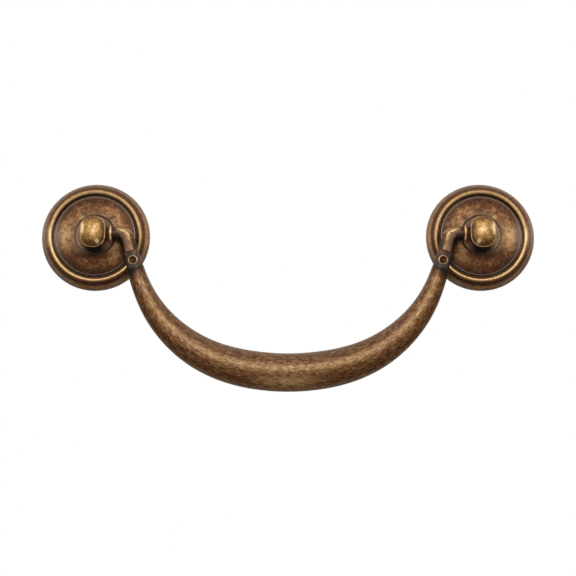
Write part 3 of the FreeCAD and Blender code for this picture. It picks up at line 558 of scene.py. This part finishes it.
def bail_place(tree):
    """Along the bail, behind its centre line and out from it, in millimetres."""
    on_crown, angle = round_arc(tree, CROWN_CENTRE, CROWN_RADIUS, 0, 0)
    on_shoulder, _ = round_arc(
        tree, SHOULDER_CENTRE, SHOULDER_RADIUS, CROWN_ANGLE, CROWN_RADIUS * CROWN_ANGLE)
    beyond = add_node(
        tree, "ShaderNodeMath", {0: angle, 1: CROWN_ANGLE}, operation="GREATER_THAN").outputs[0]
    return add_node(
        tree, "ShaderNodeMix", {"Factor": beyond, 4: on_crown, 5: on_shoulder},
        data_type="VECTOR").outputs[1]


print("the shoulder starts", round(CROWN_RADIUS * CROWN_ANGLE, 1), "mm along the bail")

# %% [markdown]
# The upper front of the bail is painted lightest, a painted highlight from the front lamp. Below
# the middle it is painted a reddish dark brown, as shade, with one lighter streak under the
# middle of the grip, a painted reflection from below. A pale grey painted sheen lies on the upper
# and lower edges. This colour goes by the angle round the bar: 0 degrees faces forwards, minus 90
# is the upper edge and 90 the lower. Round the rivets the flats of the fork are painted a grey
# black.

# %% Painted light and shade on the bail
GRIP_TONES = (
    (0, "1a120b"), (0.2, "422713"), (0.35, "5e381e"), (0.5, "7a5735"), (0.65, "95744c"),
    (0.8, "ae8d61"), (1, "cdac80"))
# Painted highlight at the upper front, painted shade below the middle.
GRIP_TONE_AND_LIGHT = (  # degrees round the bar, wear
    (-180, 0.42), (-90, 0.42), (-64, 0.42), (-45, 0.43), (-28, 0.4), (-12, 0.56), (-4, 0.57),
    (6, 0.48), (14, 0.43), (22, 0.41), (37, 0.38), (53, 0.37), (64, 0.46), (90, 0.45),
    (180, 0.42))
# Painted sheen: pale grey on the upper and lower edges and over the bright band.
GRIP_SHEEN = (
    (-180, 0.1), (-90, 0.4), (-64, 0.2), (-30, 0.06), (-12, 0.18), (0, 0.12), (12, 0.0),
    (50, 0.0), (64, 0.15), (90, 0.35), (180, 0.1))
# Painted reflection: a lighter streak under the middle of the grip.
GRIP_REFLECTION_STREAK = (((0, -3.6, 3.6), (17, 4, 3.0), 0, 0.36),)
RIVET_REACH = 9.6
RIVET_PLACE = (
    HALF_SPACING - KNEE_OFFSET - RIVET_REACH * math.cos(LEG_ANGLE), -STANDOFF,
    -RIVET_REACH * math.sin(LEG_ANGLE))
FORK_PATCH = (((0, -1.7, -1.0), (4.6, 3.8, 6.6), LEG_LEAN, -0.85),)
FORK_HAZE = (((0, -1.7, 0), (4.2, 3.5, 4.6), LEG_LEAN, 0.2),)
print("rivets", [round(value, 2) for value in RIVET_PLACE], "mm from the middle")

# %% [markdown]
# It is cast brass, brushed lengthways. The brush marks are finer than a pixel, so the mottle is
# drawn 0.6 mm wide and three times as long, which shows as short streaks. The fold would mirror
# them about the middle of the grip, so for the streaks alone it is undone, by the sign of X.

# %% Dress the bail
FRONT_SHARE = 0.7  # the grip's thickness as a share of its width
GRIP_MOTTLE = 0.3
STREAK_SCALE = (0.34, 1, 1)


def in_radians(stops):
    """Stops in degrees as stops in radians."""
    return tuple((math.radians(degrees), level) for degrees, level in stops)


def grip_maps(tree):
    """Painted light and shade, painted sheen and streaks of the bail, round and along its bar."""
    place = bail_place(tree)
    parts = add_node(tree, "ShaderNodeSeparateXYZ", {0: place})
    ahead = add_node(
        tree, "ShaderNodeMath", {0: parts.outputs["Y"], 1: -1 / FRONT_SHARE},
        operation="MULTIPLY").outputs[0]
    around = add_node(
        tree, "ShaderNodeMath", {0: parts.outputs["Z"], 1: ahead},
        operation="ARCTAN2").outputs[0]
    by_rivet = folded_place(tree, RIVET_PLACE)
    wear = add_patches(tree, profile(tree, around, in_radians(GRIP_TONE_AND_LIGHT)), place, GRIP_REFLECTION_STREAK)
    wear = add_patches(tree, wear, by_rivet, FORK_PATCH)
    haze = profile(tree, around, in_radians(GRIP_SHEEN))
    haze = add_patches(tree, haze, by_rivet, FORK_HAZE)
    across = add_node(tree, "ShaderNodeSeparateXYZ", {0: place_mm(tree)}).outputs["X"]
    side = add_node(tree, "ShaderNodeMath", {0: across}, operation="SIGN").outputs[0]
    unfold = add_node(tree, "ShaderNodeCombineXYZ", {"X": side, "Y": 1.0, "Z": 1.0}).outputs[0]
    whole = add_node(
        tree, "ShaderNodeVectorMath", {0: place, 1: unfold}, operation="MULTIPLY").outputs[0]
    streaks = add_node(tree, "ShaderNodeMapping", {"Vector": whole, "Scale": STREAK_SCALE})
    return wear, haze, GRIP_MOTTLE, streaks.outputs[0]


brushed_brass = aged_brass(
    "brushed_aged_brass", grip_maps, GRIP_TONES, mottle_mm=0.6, shine=0.34)
dress(brushed_brass, "bail")

# %% [markdown]
# The elbows turn in their sockets and swing close to the plates. Their fronts are a pinkish
# brown, and their sides and undersides are painted nearly black as shade. A painted olive gold
# highlight runs over the top of the arm and round the corner of the knee, with a painted
# highlight line just below it. The painted shade goes by depth, thin leaning patches draw the
# highlights, one for each straight stretch of them, and darker patches add painted shade under
# the arm, at the socket and on the leg's sides.

# %% Painted light and shade on the elbows
# Painted shade: the front is set lighter and the sides and back darker.
ELBOW_TONE_AND_SHADE = (  # mm behind the swing axis, wear
    (-2.15, 0.46), (-1.9, 0.42), (-1.3, 0.22), (-0.4, 0.12), (2.1, 0.3))
# Painted sheen: grey on the arm's front edge.
ELBOW_SHEEN = ((-2.1, 0.15), (-1, 0.0))
# Painted light and shade: olive gold highlight over the arm's top and round the knee, a highlight
# line below it, and shade under the arm, at the socket and on the leg's sides.
ELBOW_LIGHT_AND_SHADE_PATCHES = (
    ((-9.2, -0.6, 1.6), (3.8, 3, 1.0), 0, 0.8),  # the arm's top
    ((-12.4, -1, 0.2), (0.6, 3, 2.2), 48, 0.5),  # the knee's corner
    ((-13.5, -1, -1.4), (0.5, 3, 1.4), 10, 0.5),  # down its side towards the grip
    ((-9.4, -2, 0.7), (2.7, 2, 0.5), -17, 0.6),  # the line along the arm
    ((-11.2, -2, -0.4), (0.6, 2, 1.3), 48, 0.5),  # the line round the knee
    ((-11.7, -2, -1.7), (0.55, 2, 1.6), 10, 0.35),  # the line down the leg
    ((-7.6, -1, -1.4), (3.0, 4, 2.0), 0, -0.45),  # under the arm
    ((-6.8, -1, 0.2), (1.6, 4, 2.2), 0, -0.3),  # at the socket
    ((-9.7, -2, -3.2), (1.9, 3, 4.6), LEG_LEAN, -0.42),  # the leg's side towards the post
    ((-12.7, -2, -5.2), (0.6, 3, 1.8), LEG_LEAN, 0.2),  # the leg's front, low down
    ((-13.7, -2, -4.6), (1.2, 3, 3.8), LEG_LEAN, -0.28),  # the leg's side towards the grip
)
KNEE_FORK_PATCH = (((0, -2, -0.4), (4.6, 3.8, 4.8), LEG_LEAN, -0.8),)
print(len(ELBOW_LIGHT_AND_SHADE_PATCHES), "patches on each elbow")

# %% [markdown]
# It is the same cast brass as the bail, with its tones, but handled less, so its mottle is
# weaker. Its dull, dark sides and undersides are painted shade, and its few light lines are
# painted highlights. The specks are drawn 0.7 mm wide, a fifth of the arm, so that some show.

# %% Dress the elbows
ELBOW_MOTTLE = 0.16


def elbow_maps(tree):
    """Painted light and shade, and painted sheen, of an elbow, from its depth, its patches and
    the fork.
    """
    place = folded_place(tree, (HALF_SPACING, -STANDOFF, 0))
    depth = add_node(tree, "ShaderNodeSeparateXYZ", {0: place}).outputs["Y"]
    by_rivet = folded_place(tree, RIVET_PLACE)
    wear = add_patches(tree, profile(tree, depth, ELBOW_TONE_AND_SHADE), place, ELBOW_LIGHT_AND_SHADE_PATCHES)
    wear = add_patches(tree, wear, by_rivet, KNEE_FORK_PATCH)
    haze = profile(tree, depth, ELBOW_SHEEN)
    haze = add_patches(tree, haze, by_rivet, FORK_HAZE)
    return wear, haze, ELBOW_MOTTLE, place_mm(tree)


dark_brass = aged_brass("dark_aged_brass", elbow_maps, GRIP_TONES, mottle_mm=0.7, shine=0.3)
dress(dark_brass, "left_elbow", "right_elbow")

# %% [markdown]
# A rivet's rolled ring was closed last, after the patina, so it is bare brass and bright. Its
# hollow end is painted dark inside as shade, with a small brown ring round a dark centre painted
# at its bottom, as a painted reflection off the cone where the drill stopped. The head is 3 mm
# across, so rings about its axis say all that can be seen of it, and its specks, drawn 0.6 mm
# wide, are faint.

# %% Dress the rivets
# Painted reflection in the dimple and painted shade in the hollow; the ring is bare brass.
RIVET_WEAR_AND_LIGHT = (  # mm from the rivet's axis, wear
    (0, 0.1), (0.2, 0.15), (0.3, 0.5), (0.55, 0.5),  # the dimple
    (0.7, 0.1), (1.0, 0.1),  # the hollow's wall
    (1.15, 0.3), (1.25, 1.0), (1.42, 1.0), (1.52, 0.3))  # the ring
RIVET_HAZE = ((1.0, 0.0), (1.1, 0.12))
RIVET_MOTTLE = 0.08


def rivet_maps(tree):
    """Wear, painted light and haze of a rivet, in rings about its axis."""
    place = folded_place(tree, RIVET_PLACE)
    wear = profile(tree, from_axis(tree, place), RIVET_WEAR_AND_LIGHT)
    haze = profile(tree, from_axis(tree, place), RIVET_HAZE)
    return wear, haze, RIVET_MOTTLE, place_mm(tree)


bare_brass = aged_brass("rubbed_brass", rivet_maps, POST_TONES, mottle_mm=0.6, shine=0.25)
dress(bare_brass, "left_rivet", "right_rivet")
